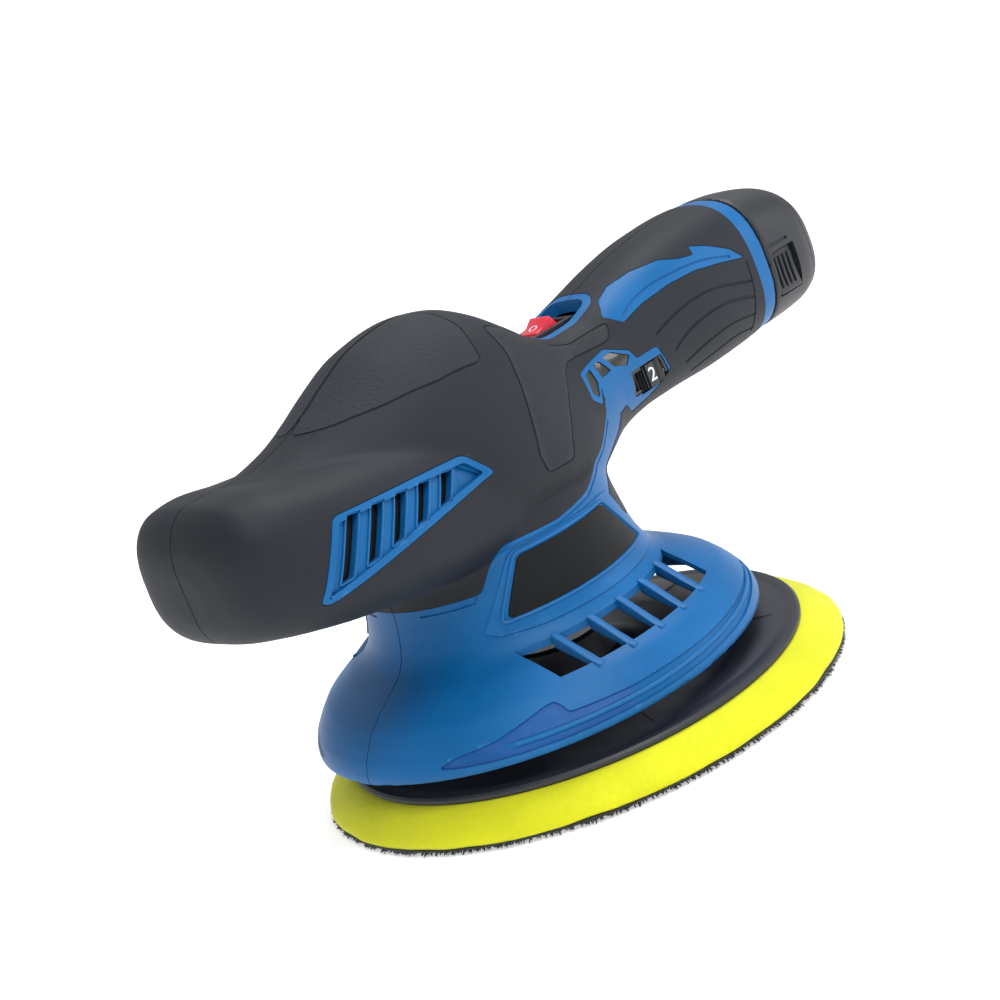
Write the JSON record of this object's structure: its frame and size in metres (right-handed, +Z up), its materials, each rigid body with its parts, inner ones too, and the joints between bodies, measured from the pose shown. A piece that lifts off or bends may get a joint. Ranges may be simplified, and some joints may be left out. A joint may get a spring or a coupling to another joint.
{
  "type": "dual action polisher",
  "caption": "Cordless two-handed dual action polisher with clamshell body, front grip, rear handle with slide-in battery, and a round orbiting hook pad.",
  "frame": {"origin": "point where the motor axis meets the plane of the pad's working face", "axes": "+Z up along the motor axis, +X towards the battery, -Y the tool's left side"},
  "size_m": [0.234, 0.15, 0.1218],
  "materials": {
    "blue_abs": "satin moulded ABS, fine spark-eroded texture",
    "grip_tpe": "matte soft-touch overmould",
    "badge_gloss": "gloss black, blank",
    "smoke_lens": "smoked translucent",
    "circuit_board": "solder mask",
    "screw_steel": "zinc plated",
    "motor_steel": "zinc plated sheet",
    "black_nylon": "moulded nylon",
    "ferrite": "sintered ferrite",
    "bronze": "sintered bronze",
    "ground_steel": "ground",
    "copper_winding": "lacquered copper on laminations",
    "fan_nylon": "moulded nylon",
    "cast_alloy": "die cast",
    "dark_steel": "black oxide",
    "plate_black": "moulded polyurethane",
    "foam_yellow": "dense closed-cell foam",
    "hook_fleece": "hook fleece",
    "rocker_red": "moulded red",
    "lead_red": "PVC insulation",
    "lead_black": "PVC insulation",
    "battery_black": "moulded ABS",
    "cell_wrap": "heat-shrink wrap"
  },
  "bodies": {
    "housing": {"shell_left": "blue_abs", "shell_right": "blue_abs", "grip_left": "grip_tpe", "grip_right": "grip_tpe", "vent_grille_left": "blue_abs", "vent_grille_right": "blue_abs", "badge_left": "badge_gloss", "badge_right": "badge_gloss", "indicator_lens": "smoke_lens", "indicator_board": "circuit_board", "housing_screws": "screw_steel", "motor_can": "motor_steel", "motor_end_cap": "black_nylon", "motor_magnets": "ferrite", "motor_bearing_front": "bronze", "motor_bearing_rear": "bronze", "motor_mount_plate": "motor_steel", "motor_screws": "screw_steel", "switch_body": "black_nylon", "dial_pot": "black_nylon", "control_board": "circuit_board", "terminal_block": "black_nylon", "supply_leads": "lead_red", "motor_leads": "lead_black"},
    "drive": {"motor_shaft": "ground_steel", "armature": "copper_winding", "commutator": "copper_winding", "cooling_fan": "fan_nylon", "eccentric_hub": "cast_alloy", "counterweight": "dark_steel", "hub_set_screw": "dark_steel", "spindle_bearing_lower": "ground_steel", "spindle_bearing_upper": "ground_steel"},
    "pad": {"spindle": "ground_steel", "spindle_clip": "dark_steel", "plate_insert": "motor_steel", "backing_plate": "plate_black", "foam_pad": "foam_yellow", "hook_face": "hook_fleece"},
    "rocker": {"rocker_button": "rocker_red"},
    "dial": {"speed_dial": "black_nylon"},
    "battery": {"battery_case": "battery_black", "battery_stem": "battery_black", "battery_cells": "cell_wrap", "battery_contacts": "bronze", "battery_board": "circuit_board", "latch_springs": "ground_steel"},
    "left_latch": {"latch_left": "battery_black"},
    "right_latch": {"latch_right": "battery_black"}
  },
  "joints": [
    {"name": "motor_spin", "type": "hinge", "parent": "housing", "child": "drive", "pos_m": [0, 0, 0.05], "axis": [0, 0, 1], "continuous": true},
    {"name": "pad_spin", "type": "hinge", "parent": "drive", "child": "pad", "pos_m": [0.006, -0.0045, 0.03], "axis": [0, 0, 1], "continuous": true},
    {"name": "rocker_tilt", "type": "hinge", "parent": "housing", "child": "rocker", "pos_m": [0.044, 0, 0.0972], "axis": [0, 1, 0], "range_deg": [-22, 0]},
    {"name": "dial_turn", "type": "hinge", "parent": "housing", "child": "dial", "pos_m": [0.0585, -0.01, 0.077], "axis": [0, 0, 1], "range_deg": [-45, 225]},
    {"name": "battery_slide", "type": "slide", "parent": "housing", "child": "battery", "axis": [1, 0, 0], "range_m": [0, 0.06]},
    {"name": "left_latch_press", "type": "slide", "parent": "battery", "child": "left_latch", "axis": [0, 1, 0], "range_m": [0, 0.0016], "stiffness_N_per_m": 900, "springref_m": -0.002},
    {"name": "right_latch_press", "type": "slide", "parent": "battery", "child": "right_latch", "axis": [0, -1, 0], "range_m": [0, 0.0016], "stiffness_N_per_m": 900, "springref_m": -0.002}
  ]
}
